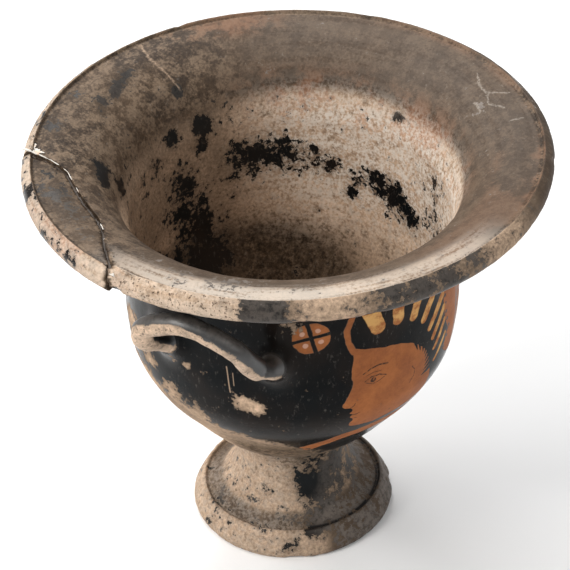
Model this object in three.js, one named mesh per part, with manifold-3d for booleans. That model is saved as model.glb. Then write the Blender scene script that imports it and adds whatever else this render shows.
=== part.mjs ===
// A small bell krater: an ancient wheel-thrown mixing bowl of fired clay, with a flaring rim,
// two upturned loop handles and a stepped foot, and one piece of its rim broken off and glued back.
// Millimetres, +Z up, origin at the base, below the middle of the rim, handles on the X axis and
// side A towards -Y.

import * as THREE from 'three';
import { mergeVertices } from 'three/addons/utils/BufferGeometryUtils.js';
import Module from 'manifold-3d';

const wasm = await Module();
wasm.setup();

// Driving dimensions.
const HEIGHT = 206.5;
const RIM_RADIUS = 120;
const BODY_RADIUS = 77.7;
const STEM_RADIUS = 25.5;
const FOOT_RADIUS = 48.4;
const FOOT_RIM_HEIGHT = 13.1;
const FOOT_HOLLOW_RADIUS = 38;
const FOOT_HOLLOW_DEPTH = 38;
const BOWL_FLOOR = 61.5;

// The foot was joined on a little off centre: it stands this far from the middle of the rim. The
// offset fades out between these two heights.
const FOOT_OFFSET = [-1.1, 2.3];
const OFFSET_FROM = 14;
const OFFSET_TO = 140;

// The lip is a half-round band at the edge of the rim, with a fine raised line along its top.
const LIP_HALF_WIDTH = 6.5;
const LIP_HALF_HEIGHT = 6;
const LIP_CENTRE_RADIUS = RIM_RADIUS - LIP_HALF_WIDTH;
const LIP_CENTRE_HEIGHT = HEIGHT - LIP_HALF_HEIGHT - 0.1;
const RIM_LINE_RADIUS = RIM_RADIUS - 4.5;

// Each handle is a round bar. It leaves the wall level, rises outwards and turns up to a rounded loop
// below the lip. Half of its middle line, from the root to the top of the loop, goes through these
// points: distance from the axis, half width and height. It is a little stouter at its roots, and
// spreads into the wall there with a fillet.
const HANDLE_LINE = [[68, 27, 142], [82.5, 26.8, 145.2], [98.4, 25.9, 160], [104.8, 20, 172.2]];
const HANDLE_TOP = [106.6, 0, 179.6];
const HANDLE_RADIUS = 5;
const HANDLE_ROOT_RADIUS = 6.6;
const HANDLE_TAPER_LENGTH = 45;
const HANDLE_FILLET = 5;
const HANDLE_FILLET_REACH = 4;
const WALL_DEPTH = 7;

// The fracture round the glued piece of rim runs almost straight from edge to edge of the rim.
// Its corners are given by their angle round the rim and their distance from the axis. The piece
// is stuck back a little too far out and too low.
const FRACTURE_GAP = 0.6;
const FRACTURE = [
  [-157, 122], [-155.8, 115.5], [-153, 106.5], [-149, 99.5], [-138.5, 96.4],
  [-127.8, 94.9], [-121.5, 97.5], [-113.2, 106.3], [-107, 113.8], [-105, 122],
];
const FRACTURE_OUTSIDE = 180;
const SHERD_ANGLE = -132;
const SHERD_OUT = 0.8;
const SHERD_DROP = 1.6;

// How finely the surfaces are divided.
const SIDES = 60;
const CURVE_STEP = 9;
const BAR_SIDES = 12;
const BAR_STEPS = 24;
const DEGREE = Math.PI / 180;

// A smooth run of profile points through a few named ones, about CURVE_STEP apart.
function smoothRun(corners, step = CURVE_STEP) {
  const curve = new THREE.SplineCurve(corners.map(([r, z]) => new THREE.Vector2(r, z)));
  return curve.getSpacedPoints(Math.max(2, Math.round(curve.getLength() / step)));
}

function arc(centreRadius, centreHeight, halfWidth, halfHeight, from, to, count) {
  const points = [];
  for (let i = 0; i <= count; i += 1) {
    const angle = (from + ((to - from) * i) / count) * DEGREE;
    points.push(new THREE.Vector2(
      centreRadius + halfWidth * Math.cos(angle),
      centreHeight + halfHeight * Math.sin(angle),
    ));
  }
  return points;
}

function points(...pairs) {
  return pairs.map(([r, z]) => new THREE.Vector2(r, z));
}

// three.js turns a lathe about Y, so the geometry is stood up on Z.
function turned(profile) {
  return new THREE.LatheGeometry(profile, SIDES).rotateX(Math.PI / 2);
}

// A manifold-3d solid from a closed geometry, turned inside out where its faces point inwards.
function solidFrom(geometry) {
  const bare = geometry.index ? geometry.clone() : geometry;
  bare.deleteAttribute('normal');
  bare.deleteAttribute('uv');
  const merged = mergeVertices(bare, 1e-4);
  const vertProperties = new Float32Array(merged.attributes.position.array);
  const triVerts = new Uint32Array(merged.index.array);
  const mesh = new wasm.Mesh({ numProp: 3, vertProperties, triVerts });
  const solid = new wasm.Manifold(mesh);
  if (solid.volume() > 0) return solid;
  const flipped = triVerts.map((_, i) => triVerts[i - (i % 3) + (2 - (i % 3))]);
  return new wasm.Manifold(new wasm.Mesh({ numProp: 3, vertProperties, triVerts: flipped }));
}

function geometryFrom(solid) {
  const mesh = solid.getMesh();
  const geometry = new THREE.BufferGeometry();
  geometry.setAttribute('position', new THREE.BufferAttribute(mesh.vertProperties, 3));
  geometry.setIndex(new THREE.BufferAttribute(mesh.triVerts, 1));
  return geometry;
}

// The foot and stem are moved sideways, each level by its share of the foot's offset.
function withFootOffset(geometry) {
  const place = geometry.attributes.position;
  for (let i = 0; i < place.count; i += 1) {
    const share = 1 - THREE.MathUtils.smoothstep(place.getZ(i), OFFSET_FROM, OFFSET_TO);
    place.setX(i, place.getX(i) + share * FOOT_OFFSET[0]);
    place.setY(i, place.getY(i) + share * FOOT_OFFSET[1]);
  }
  geometry.computeVertexNormals();
  return geometry;
}

function outerProfile() {
  const footEdge = points([0, 0], [FOOT_RADIUS - 1.2, 0], [FOOT_RADIUS, 2.6], [FOOT_RADIUS - 1.5, 6]);
  const footStep = points([43.4, FOOT_RIM_HEIGHT - 0.4], [42.7, FOOT_RIM_HEIGHT], [42, 12.4]);
  const stem = smoothRun([[41.2, 13], [34, 17.5], [28, 25], [STEM_RADIUS, 36], [28.5, 48], [36.5, 53.6]]);
  const body = smoothRun([
    [44, 60], [56.3, 75], [67.7, 90], [74.8, 105], [77.3, 121],
    [BODY_RADIUS, 135], [78, 150], [79.8, 169], [86, 185], [96, 193], [105, 195.6],
  ]);
  const undercut = points([107.6, 197]);
  const lip = arc(LIP_CENTRE_RADIUS, LIP_CENTRE_HEIGHT, LIP_HALF_WIDTH, LIP_HALF_HEIGHT, -126, 63, 9);
  const rimLine = points([RIM_LINE_RADIUS, HEIGHT], [0, HEIGHT]);
  return [...footEdge, ...footStep, ...stem, ...body, ...undercut, ...lip, ...rimLine];
}

function bowlProfile() {
  const floor = smoothRun([[0, BOWL_FLOOR], [30, 63.5], [44, 68.5]], 20);
  const wall = smoothRun([[54, 77], [62, 88], [68, 102], [71.3, 117], [72.3, 134], [72.8, 152]], 13);
  const flare = smoothRun([[74.2, 171], [80.5, 188.5], [90, 198], [103, 203.6], [113.6, 205.4]], 9);
  const mouth = points([RIM_LINE_RADIUS - 0.8, HEIGHT + 1], [0, HEIGHT + 1]);
  return [...floor, ...wall, ...flare, ...mouth];
}

function footHollowProfile() {
  const side = smoothRun([[FOOT_HOLLOW_RADIUS, 2], [34, 9], [24, 17.5], [17.5, 27]], 11);
  return [
    ...points([0, -1], [FOOT_HOLLOW_RADIUS, -1]), ...side,
    ...points([11, FOOT_HOLLOW_DEPTH - 2.5], [0, FOOT_HOLLOW_DEPTH]),
  ];
}

// The middle line of the bar on the +X side, from one root round the loop to the other.
function handleLine() {
  const half = HANDLE_LINE.map(([out, across, up]) => new THREE.Vector3(out, across, up));
  const mirrored = half.map((point) => new THREE.Vector3(point.x, -point.y, point.z)).reverse();
  return new THREE.CatmullRomCurve3([...half, new THREE.Vector3(...HANDLE_TOP), ...mirrored]);
}

// The bar's radius at a distance along its line from the nearer end, which is inside the wall.
function handleRadius(fromEnd) {
  const taper = Math.max(0, 1 - fromEnd / HANDLE_TAPER_LENGTH);
  const fillet = HANDLE_FILLET * Math.exp(-Math.max(0, fromEnd - WALL_DEPTH) / HANDLE_FILLET_REACH);
  return HANDLE_RADIUS + (HANDLE_ROOT_RADIUS - HANDLE_RADIUS) * taper + fillet;
}

// A closed bar along a line, with rings of points whose radius changes along it.
function handleSolid() {
  const line = handleLine();
  const length = line.getLength();
  const frames = line.computeFrenetFrames(BAR_STEPS, false);
  const places = [];
  for (let i = 0; i <= BAR_STEPS; i += 1) {
    const middle = line.getPointAt(i / BAR_STEPS);
    const radius = handleRadius((Math.min(i, BAR_STEPS - i) / BAR_STEPS) * length);
    for (let j = 0; j < BAR_SIDES; j += 1) {
      const angle = (2 * Math.PI * j) / BAR_SIDES;
      places.push(middle.clone()
        .addScaledVector(frames.normals[i], radius * Math.cos(angle))
        .addScaledVector(frames.binormals[i], radius * Math.sin(angle)));
    }
  }
  const ends = [places.length, places.length + 1];
  places.push(line.getPointAt(0), line.getPointAt(1));
  const faces = [];
  for (let j = 0; j < BAR_SIDES; j += 1) {
    const next = (j + 1) % BAR_SIDES;
    faces.push(ends[0], next, j);
    for (let i = 0; i < BAR_STEPS; i += 1) {
      const ring = i * BAR_SIDES;
      const outer = ring + BAR_SIDES;
      faces.push(ring + j, ring + next, outer + j, ring + next, outer + next, outer + j);
    }
    faces.push(ends[1], BAR_STEPS * BAR_SIDES + j, BAR_STEPS * BAR_SIDES + next);
  }
  const bar = new THREE.BufferGeometry().setFromPoints(places);
  return solidFrom(bar.setIndex(faces));
}

function wholeVessel() {
  const handle = handleSolid();
  return solidFrom(turned(outerProfile()))
    .add(handle)
    .add(handle.rotate([0, 0, 180]))
    .subtract(solidFrom(turned(bowlProfile())))
    .subtract(solidFrom(turned(footHollowProfile())));
}

// The fracture's corners in plan, moved away from the axis by a small shift.
function fractureLine(shift) {
  const corners = FRACTURE.map(([angle, radius]) => new THREE.Vector2(
    radius * Math.sin(angle * DEGREE),
    -radius * Math.cos(angle * DEGREE),
  ));
  return corners.map((corner, i) => {
    const before = corners[Math.max(0, i - 1)];
    const after = corners[Math.min(corners.length - 1, i + 1)];
    const along = after.clone().sub(before).normalize();
    return new THREE.Vector2(corner.x + shift * along.y, corner.y - shift * along.x);
  });
}

// The block that holds the glued piece reaches from the fracture to well outside the rim.
function fractureBlock(shift) {
  const line = fractureLine(shift);
  const far = [line.at(-1), line[0]].map((end) => end.clone().setLength(FRACTURE_OUTSIDE));
  const outline = new THREE.Shape([...line, ...far]);
  const block = new THREE.ExtrudeGeometry(outline, { depth: HEIGHT, bevelEnabled: false });
  return solidFrom(block.translate(0, 0, HEIGHT / 2));
}

function piece(name, solid, material) {
  const mesh = new THREE.Mesh(withFootOffset(geometryFrom(solid)), material);
  mesh.name = name;
  return mesh;
}

const blackGlaze = new THREE.MeshStandardMaterial({ color: '#2b2724', roughness: 0.35, metalness: 0 });
const wornGlaze = new THREE.MeshStandardMaterial({ color: '#6d5f54', roughness: 0.6, metalness: 0 });

const vessel = wholeVessel();
const sherd = piece('rim_sherd', vessel.intersect(fractureBlock(FRACTURE_GAP / 2)), wornGlaze);
const sherdAngle = SHERD_ANGLE * DEGREE;
sherd.position.set(SHERD_OUT * Math.sin(sherdAngle), -SHERD_OUT * Math.cos(sherdAngle), -SHERD_DROP);

const krater = new THREE.Group();
krater.add(piece('krater', vessel.subtract(fractureBlock(-FRACTURE_GAP / 2)), blackGlaze));
krater.add(sherd);

export default krater;
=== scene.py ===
# A worn bell krater with a painted head on each side: its surface, wear, light and camera.
import math

import bmesh
import bpy
import numpy as np
from mathutils import Matrix, Vector, kdtree, noise


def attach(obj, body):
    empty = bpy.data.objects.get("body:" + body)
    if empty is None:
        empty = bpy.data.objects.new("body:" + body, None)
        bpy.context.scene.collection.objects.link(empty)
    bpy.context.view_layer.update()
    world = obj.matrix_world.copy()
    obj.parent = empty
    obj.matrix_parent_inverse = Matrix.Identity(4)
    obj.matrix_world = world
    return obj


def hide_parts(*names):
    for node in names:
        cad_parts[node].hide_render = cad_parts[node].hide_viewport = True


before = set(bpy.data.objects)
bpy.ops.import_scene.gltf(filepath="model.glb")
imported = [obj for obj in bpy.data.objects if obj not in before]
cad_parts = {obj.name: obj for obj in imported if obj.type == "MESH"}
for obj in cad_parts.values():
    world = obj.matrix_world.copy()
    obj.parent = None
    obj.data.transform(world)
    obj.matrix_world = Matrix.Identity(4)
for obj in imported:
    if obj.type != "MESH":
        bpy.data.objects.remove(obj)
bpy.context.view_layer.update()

# ---------------------------------------------------------------- the vessel's driving sizes, in mm
MM = 0.001
HEIGHT = 206.5
RIM_RADIUS = 120
BODY_RADIUS = 77.7
STEM_RADIUS = 25.5
FOOT_RADIUS = 48.4
FOOT_RIM_HEIGHT = 13.1
FOOT_TOP = 11
FOOT_GROOVE_RADIUS = 41.4
FOOT_HOLLOW_RADIUS = 38
FOOT_HOLLOW_DEPTH = 38
BOWL_FLOOR = 61.5

# The foot was set a little beside the body's axis.
FOOT_OFFSET = (-1.1, 2.3)
OFFSET_FROM = 14
OFFSET_TO = 140

LIP_HALF_WIDTH = 6.5
LIP_HALF_HEIGHT = 6
LIP_CENTRE_RADIUS = RIM_RADIUS - LIP_HALF_WIDTH
LIP_CENTRE_HEIGHT = HEIGHT - LIP_HALF_HEIGHT - 0.1
RIM_LINE_RADIUS = 115.5
GROOVE_RADIUS = 114.1
GROOVE_DEPTH = 0.55

# Half of each handle's centre line: how far out, how far aside, how high.
HANDLE_LINE = [(68, 27, 142), (82.5, 26.8, 145.2), (98.4, 25.9, 160), (104.8, 20, 172.2)]
HANDLE_TOP = (106.6, 0, 179.6)
# How thick the bar is, how it thickens towards its roots and how it flares where it meets the wall.
HANDLE_RADIUS = 5
HANDLE_ROOT_GAIN = 1.6
HANDLE_TAPER = 45
HANDLE_FILLET = 5
HANDLE_FILLET_REACH = 4
# About how much of the bar's length lies inside the wall at each end.
WALL_DEPTH = 7
# The bars end inside the wall.
ROOT_END_RADIUS = 74.8
# The rings of a bar's mesh are turned by this direction, which no part of the bar follows.
BAR_OUT = (0.45, 0, 0.9)

# The fracture round the glued piece of rim: azimuth in degrees, distance from the axis in mm.
FRACTURE = [(-157, 122), (-155.8, 115.5), (-153, 106.5), (-149, 99.5), (-138.5, 96.4), (-127.8, 94.9),
            (-121.5, 97.5), (-113.2, 106.3), (-107, 113.8), (-105, 122)]
FRACTURE_GAP = 0.6
# The block that cuts out the glued piece reaches this far from the axis.
FRACTURE_OUTSIDE = 180
# Dirt lies on points this near to the fracture's line.
FRACTURE_DIRT_WIDTH = 1.05
# The broken faces: how rough, how far they lean out per mm of height, and their lowest level, highest
# level and number of levels.
FRACTURE_JITTER = 0.45
FRACTURE_SLANT = 0.10
FRACTURE_LEVELS = (182, 212, 16)
# The glued piece sits this far out, towards this azimuth, and this far down.
SHERD_ANGLE = -132
SHERD_OUT = 0.8
SHERD_DROP = 1.6

# How finely the meshes are divided.
COLUMNS = 336
BAR_SIDES = 26
BAR_RINGS = 84

DEGREE = math.pi / 180


# ---------------------------------------------------------------- curves
def spline_points(corners, count=400):
    """Points on a smooth curve through the corners."""
    corners = [np.array(c, float) for c in corners]
    last = len(corners) - 1
    points = []
    for t in np.linspace(0, last, count):
        i = min(int(t), last - 1)
        w = t - i
        before, start = corners[max(i - 1, 0)], corners[i]
        end, after = corners[i + 1], corners[min(i + 2, last)]
        pull_start, pull_end = (end - before) / 2, (after - start) / 2
        points.append((2 * w**3 - 3 * w**2 + 1) * start + (w**3 - 2 * w**2 + w) * pull_start
                      + (3 * w**2 - 2 * w**3) * end + (w**3 - w**2) * pull_end)
    return np.array(points)


def resampled(points, step):
    """The same line with evenly spaced points about one step apart, both ends kept."""
    lengths = np.concatenate([[0], np.cumsum(np.linalg.norm(np.diff(points, axis=0), axis=1))])
    count = max(int(round(lengths[-1] / step)), 1) + 1
    places = np.linspace(0, lengths[-1], count)
    return np.stack([np.interp(places, lengths, points[:, k]) for k in range(points.shape[1])], axis=1)


def smooth_run(corners, step):
    """Evenly spaced points on a smooth curve through the corners."""
    return resampled(spline_points(corners), step)


def straight_run(corners, step):
    """Evenly spaced points on straight lines between the corners."""
    corners = np.array(corners, float)
    runs = [resampled(corners[i:i + 2], step)[:-1] for i in range(len(corners) - 1)]
    return np.vstack(runs + [corners[-1:]])


def lip_run(start, end, step):
    """Points round the lip's section, from one angle to another in degrees."""
    angles = np.radians(np.linspace(start, end, 200))
    arc = np.stack([LIP_CENTRE_RADIUS + LIP_HALF_WIDTH * np.cos(angles),
                    LIP_CENTRE_HEIGHT + LIP_HALF_HEIGHT * np.sin(angles)], axis=1)
    return resampled(arc, step)


def vessel_profile():
    """Half of the vessel's section: foot hollow, outside, lip, bowl. Each point is (radius, height)."""
    hollow = smooth_run([(0, FOOT_HOLLOW_DEPTH), (11, 35.5), (17.5, 27), (24, 17.5), (34, 9),
                         (FOOT_HOLLOW_RADIUS, 2), (FOOT_HOLLOW_RADIUS + 0.6, 0.4)], 4)
    ring = straight_run([(40, 0), (FOOT_RADIUS - 1.6, 0)], 3)
    foot_edge = smooth_run([(FOOT_RADIUS - 0.7, 0.5), (FOOT_RADIUS, 2.6), (FOOT_RADIUS - 0.5, 5),
                            (FOOT_RADIUS - 2.6, 9), (43.9, 12.5)], 1.2)
    foot_groove = smooth_run([(43.4, 12.9), (42.8, 13.1), (42.2, 12.4), (41.6, 11.7),
                              (40.9, 11.8), (39.8, 12.7)], 0.5)
    stem = smooth_run([(39.8, 12.7), (34.4, 16), (28.6, 23), (STEM_RADIUS, 35), (28.5, 48), (36.5, 53.6),
                       (44, 60)], 1.9)
    body = smooth_run([(36.5, 53.6), (44, 60), (56.3, 75), (67.7, 90), (74.8, 105), (77.3, 121),
                       (BODY_RADIUS, 135), (78, 150), (79.8, 169), (86, 185), (96, 193), (105, 195.6),
                       (107.6, 197)], 2.1)
    body = body[body[:, 1] > 60.5]
    lip = lip_run(-124, 60, 0.9)
    crest = smooth_run([(RIM_LINE_RADIUS + 1, HEIGHT - 0.7), (RIM_LINE_RADIUS, HEIGHT - 0.1),
                        (RIM_LINE_RADIUS - 1, HEIGHT - 0.75), (RIM_LINE_RADIUS - 2.4, HEIGHT - 1.25),
                        (RIM_LINE_RADIUS - 4, HEIGHT - 1.6)], 0.42)
    flare = smooth_run([(110.6, 204.8), (103, 203.6), (90, 198), (80.5, 188.5), (74.2, 171)], 1.75)
    wall = smooth_run([(74.2, 171), (72.8, 152), (72.3, 134), (71.3, 117), (68, 102), (62, 88), (54, 77)],
                      2.1)[1:]
    floor = smooth_run([(54, 77), (44, 68.5), (30, 63.5), (0, BOWL_FLOOR)], 3)[1:]
    return np.vstack([hollow, ring, foot_edge, foot_groove, stem[1:], body, lip, crest, flare, wall, floor])


def handle_line():
    """The centre line of the handle on the +x side, from root to root."""
    right = [(out, aside, up) for out, aside, up in HANDLE_LINE]
    left = [(out, -aside, up) for out, aside, up in reversed(HANDLE_LINE)]
    return spline_points(right + [HANDLE_TOP] + left, 800)


# ---------------------------------------------------------------- meshes
def linked(name, data):
    """A new object with the data, in the scene."""
    thing = bpy.data.objects.new(name, data)
    bpy.context.scene.collection.objects.link(thing)
    return thing


def mesh_object(name, points, faces):
    """A smooth mesh object from points in mm."""
    mesh = bpy.data.meshes.new(name)
    mesh.from_pydata((np.asarray(points) * MM).tolist(), [], faces)
    mesh.shade_smooth()
    mesh.update()
    return linked(name, mesh)


def ring_faces(rings, sides, first=0):
    """The faces between closed rings of points that follow one another."""
    faces = []
    for ring in range(rings - 1):
        a, b = first + ring * sides, first + (ring + 1) * sides
        for i in range(sides):
            j = (i + 1) % sides
            faces.append((a + i, a + j, b + j, b + i))
    return faces


def tube_faces(rings, sides):
    """The faces of a run of closed rings with a flat face at each end."""
    ends = [tuple(reversed(range(sides))), tuple(range((rings - 1) * sides, rings * sides))]
    return ring_faces(rings, sides) + ends


def turned(name, profile, columns):
    """The profile turned round the axis. Its first and last points lie on the axis."""
    ring_profile = profile[1:-1]
    angles = np.arange(columns) * 2 * math.pi / columns
    rings = [np.stack([r * np.sin(angles), -r * np.cos(angles), np.full(columns, z)], axis=1)
             for r, z in ring_profile]
    points = np.vstack([[[0, 0, profile[0][1]]], *rings, [[0, 0, profile[-1][1]]]])
    last = len(points) - 1
    faces = ring_faces(len(ring_profile), columns, 1)
    top = last - columns
    for i in range(columns):
        j = (i + 1) % columns
        faces.append((0, 1 + j, 1 + i))
        faces.append((top + i, top + j, last))
    return mesh_object(name, points, faces)


def bar_centres():
    """Evenly spaced points on a handle's centre line, and how far each is from the nearer root."""
    line = resampled(handle_line(), 0.25)
    places = np.concatenate([[0], np.cumsum(np.linalg.norm(np.diff(line, axis=0), axis=1))])
    stops = np.linspace(0, places[-1], BAR_RINGS)
    centres = np.stack([np.interp(stops, places, line[:, k]) for k in range(3)], axis=1)
    return centres, np.minimum(stops, places[-1] - stops)


def handle_bar(name, side):
    """One handle as a bar that thickens towards its two roots in the wall."""
    centres, from_end = bar_centres()
    ways = np.gradient(centres, axis=0)
    radii = HANDLE_RADIUS + HANDLE_ROOT_GAIN * np.maximum(0, 1 - from_end / HANDLE_TAPER)
    radii += HANDLE_FILLET * np.exp(-np.maximum(0, from_end - WALL_DEPTH) / HANDLE_FILLET_REACH)
    points = []
    for centre, way, radius in zip(centres, ways, radii):
        way = way / np.linalg.norm(way)
        across = np.cross(way, BAR_OUT)
        across /= np.linalg.norm(across)
        up = np.cross(across, way)
        for i in range(BAR_SIDES):
            turn = 2 * math.pi * i / BAR_SIDES
            points.append(centre + radius * (math.cos(turn) * across + math.sin(turn) * up))
    points = np.array(points)
    inward = np.hypot(points[:, 0], points[:, 1])
    points[:, :2] *= (np.maximum(inward, ROOT_END_RADIUS) / inward)[:, None]
    points[:, 0] *= side
    bar = mesh_object(name, points, tube_faces(BAR_RINGS, BAR_SIDES))
    mend_normals(bar)
    return bar


def mend_normals(piece, weld=None):
    """Turns all faces outward. With weld, points closer than that many mm are joined first."""
    shape = bmesh.new()
    shape.from_mesh(piece.data)
    if weld:
        bmesh.ops.remove_doubles(shape, verts=shape.verts, dist=weld * MM)
    bmesh.ops.recalc_face_normals(shape, faces=shape.faces)
    shape.to_mesh(piece.data)
    shape.free()


def combine(piece, tool, operation):
    """Joins, cuts or keeps what two closed meshes share, in place. The tool is used up."""
    modifier = piece.modifiers.new("solid", "BOOLEAN")
    modifier.operation = operation
    modifier.solver = "MANIFOLD"
    modifier.object = tool
    graph = bpy.context.evaluated_depsgraph_get()
    mesh = bpy.data.meshes.new_from_object(piece.evaluated_get(graph))
    piece.modifiers.clear()
    old = piece.data
    piece.data = mesh
    bpy.data.meshes.remove(old)
    bpy.data.objects.remove(tool, do_unlink=True)


def points_of(piece):
    """The mesh's points in mm."""
    flat = np.empty(len(piece.data.vertices) * 3)
    piece.data.vertices.foreach_get("co", flat)
    return flat.reshape(-1, 3) / MM


def normals_of(piece):
    flat = np.empty(len(piece.data.vertices) * 3)
    piece.data.vertex_normals.foreach_get("vector", flat)
    return flat.reshape(-1, 3)


def move_points(piece, points):
    piece.data.vertices.foreach_set("co", (points * MM).ravel())
    piece.data.update()


# ---------------------------------------------------------------- the fracture
def plan_point(azimuth, r):
    """A place in plan. Azimuth 0 is the middle of side A, and it grows towards +x."""
    return (r * math.sin(azimuth * DEGREE), -r * math.cos(azimuth * DEGREE))


def fracture_line(step=1.6):
    return resampled(np.array([plan_point(a, r) for a, r in FRACTURE]), step)


def fracture_block(name, shift):
    """The block that holds the glued piece: a rough wall along the fracture, reaching outside the rim."""
    line = fracture_line()
    rows = []
    for level in np.linspace(*FRACTURE_LEVELS):
        row = []
        for x, y in line:
            rough = noise.fractal(Vector((x * 0.22, y * 0.22, level * 0.16)), 0.9, 2.1, 4)
            slant = FRACTURE_SLANT * (level - 200)
            away = math.hypot(x, y)
            scale = (away + shift + FRACTURE_JITTER * rough + slant) / away
            row.append((x * scale, y * scale, level))
        first, last = Vector(row[0][:2]), Vector(row[-1][:2])
        row.append((*(last.normalized() * FRACTURE_OUTSIDE), level))
        row.append((*(first.normalized() * FRACTURE_OUTSIDE), level))
        rows.append(row)
    block = mesh_object(name, [p for row in rows for p in row], tube_faces(len(rows), len(rows[0])))
    mend_normals(block)
    return block


# ---------------------------------------------------------------- where a point of the vessel lies
# The rim's upper surface: distance from the axis, height.
RIM_TOP = [(78, 183), (80.5, 188.5), (90, 198), (103, 203.6), (110.6, 204.8), (114.5, 205.7), (117, 206.1)]
# Halfway between the inside and the outside of the wall: height, radius.
MID_WALL = [(60, 20), (63.5, 38), (68.5, 47.6), (77, 56.2), (88, 64.3), (102, 70.8), (117, 74), (134, 75),
            (152, 75.4), (171, 77.3), (188.5, 85), (198, 98), (200, 106), (202, 115.5), (210, 115.5)]
BOWL_BOTTOM = 60
LIP_UNDERSIDE = 196.5
BODY_START = 58


def rise(x, start, end):
    """0 before start, 1 after end, smooth between."""
    t = np.clip((x - start) / (end - start), 0, 1)
    return t * t * (3 - 2 * t)


def window(x, start, end, soft):
    """1 between start and end, 0 outside, smooth over soft to each side of both."""
    return rise(x, start - soft, start + soft) * (1 - rise(x, end - soft, end + soft))


def turn_between(a, b):
    """The signed turn from azimuth b to azimuth a, in degrees."""
    return (a - b + 180) % 360 - 180


def arc_window(azimuth, start, end, soft):
    """1 between two azimuths in degrees, start being the lesser, with soft ends."""
    middle, half = (start + end) / 2, (end - start) / 2
    return 1 - rise(np.abs(turn_between(azimuth, middle)), half - soft, half + soft)


class Places:
    """Where each point of a mesh lies on the vessel, before it is worn or set askew."""

    def __init__(self, points):
        self.points = points
        x, y, self.z = points.T
        self.r = np.hypot(x, y)
        self.azimuth = np.degrees(np.arctan2(x, -y))
        heights, radii = np.array(MID_WALL).T
        self.inside = (self.z > BOWL_BOTTOM) & (self.r < np.interp(self.z, heights, radii))
        # 1 on the flaring rim's upper surface, 0 on the bowl's wall, with a soft change between.
        self.rim_top = self.inside * rise(self.z, 174, 193)
        self.lip = ~self.inside & (self.z > LIP_UNDERSIDE)
        self.foot = ~self.inside & (self.z <= BODY_START)
        self.handle, self.bar_way = self.on_handles()
        self.body = ~self.inside & ~self.lip & ~self.foot & (self.handle < 0.5)
        self.wall = self.inside * (1 - self.rim_top)
        self.near_rim = self.rim_top * arc_window(self.azimuth, -108, -14, 10)
        self.left_wall = arc_window(self.azimuth, 122, 215, 22) * rise(self.r, 15, 50)

    def on_handles(self):
        """How surely a point is on a handle, and the unit way from the bar's centre line to the point."""
        line = resampled(handle_line(), 1)
        tree = kdtree.KDTree(2 * len(line))
        for i, (x, y, z) in enumerate(line):
            tree.insert((x, y, z), 2 * i)
            tree.insert((-x, y, z), 2 * i + 1)
        tree.balance()
        sure = np.zeros(len(self.points))
        ways = np.zeros((len(self.points), 3))
        near = np.flatnonzero((np.abs(self.points[:, 0]) > 62) & (self.z > 120) & (self.z < 190)
                              & (self.r > 76.5) & ~self.inside)
        for i in near:
            centre, _, distance = tree.find(self.points[i])
            sure[i] = 1 - rise(distance, 7.5, 9.5)
            way = self.points[i] - np.array(centre)
            ways[i] = way / max(distance, 1e-6)
        return sure, ways


# ---------------------------------------------------------------- wear of the shape
# Chips out of the lip: azimuth in degrees, then radius, height, size and depth in mm.
LIP_CHIPS = [(-101, 119, 204, 5, 1.4), (-98, 113, 206, 4, 0.5), (-104, 119, 197, 4, 1.2),
             (-106.5, 115, 205, 2.5, 1.6), (95, 116, 206, 2.5, 1.2), (-157.5, 117, 204, 2, 1.6),
             (-62, 119, 198, 6, 0.6), (-48, 120, 199, 8, 0.5), (20, 119, 198, 5, 0.8),
             (141, 119, 203, 6, 0.7), (-8, 116, 206, 4, 0.6), (-175, 119, 198, 5, 0.8)]
# Chips out of the foot's edge, measured the same way.
FOOT_CHIPS = [(-118, 48, 5, 5, 0.8), (-64, 48, 2, 6, 0.9), (-25, 48, 7, 4, 0.5), (30, 48, 3, 5, 0.9),
              (120, 48, 4, 6, 0.8), (-90, 42.5, 13, 3, 0.5)]
# Flaked hollows in the bowl, on the body and on the stem.
POCKS = [(103.5, 71.6, 118.8, 2.2, 0.9), (-90, 25.5, 34.4, 2.4, 0.8), (-71, 26, 40, 2, 0.7),
         (-82, 76.5, 117.5, 4, 0.35), (-60, 26, 37, 2.5, 0.5), (-105, 26, 30, 2.5, 0.5),
         (74, 77, 180, 1.8, 0.4)]
# How deep the warps, the throwing rings and the roughness go, in mm.
WARP = 0.35
RINGS = 0.13
ROUGHNESS = 0.16
# The corner at the handles' roots is rounded this often, wholly within the first reach in mm and not at
# all beyond the second.
ROOT_ROUNDS = 60
ROOT_REACH = (12, 25)


def spot(azimuth, r, z):
    return np.array([*plan_point(azimuth, r), z])


def field(points, scale, octaves=3, seed=0):
    """Smooth noise about zero at each point. scale is the size of its largest lumps in mm."""
    shift = Vector((seed * 17.3, seed * 9.1, seed * 5.7))
    return np.array([noise.fractal(Vector(p) / scale + shift, 0.8, 2.0, octaves) for p in points])


def worn_shape(piece, places, rough):
    """Moves the points a little along their normals: warps, throwing rings, roughness and chips."""
    points = places.points
    depth = WARP * field(points, 60, 2, 1)
    rings = np.stack([3 * np.sin(places.azimuth * DEGREE), np.ones(len(points)),
                      places.z + 0.6 * places.r], axis=1)
    depth += RINGS * field(rings, 9, 2, 2) * (1 - places.handle)
    depth += ROUGHNESS * (0.4 + 1.6 * rough) * field(points, 5, 3, 3)
    for azimuth, r, z, size, deep in LIP_CHIPS + FOOT_CHIPS + POCKS:
        away = np.linalg.norm(points - spot(azimuth, r, z), axis=1)
        near = away < 2.2 * size
        edge = 1 + 0.35 * field(points[near], 3, 3, 4)
        depth[near] -= deep * (1 - rise(away[near] * edge, 0.45 * size, 1.1 * size))
    top = places.inside & (places.z > 200)
    depth[top] -= GROOVE_DEPTH * np.exp(-((places.r[top] - GROOVE_RADIUS) / 0.75) ** 2)
    return points_of(piece) + normals_of(piece) * depth[:, None]


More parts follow.
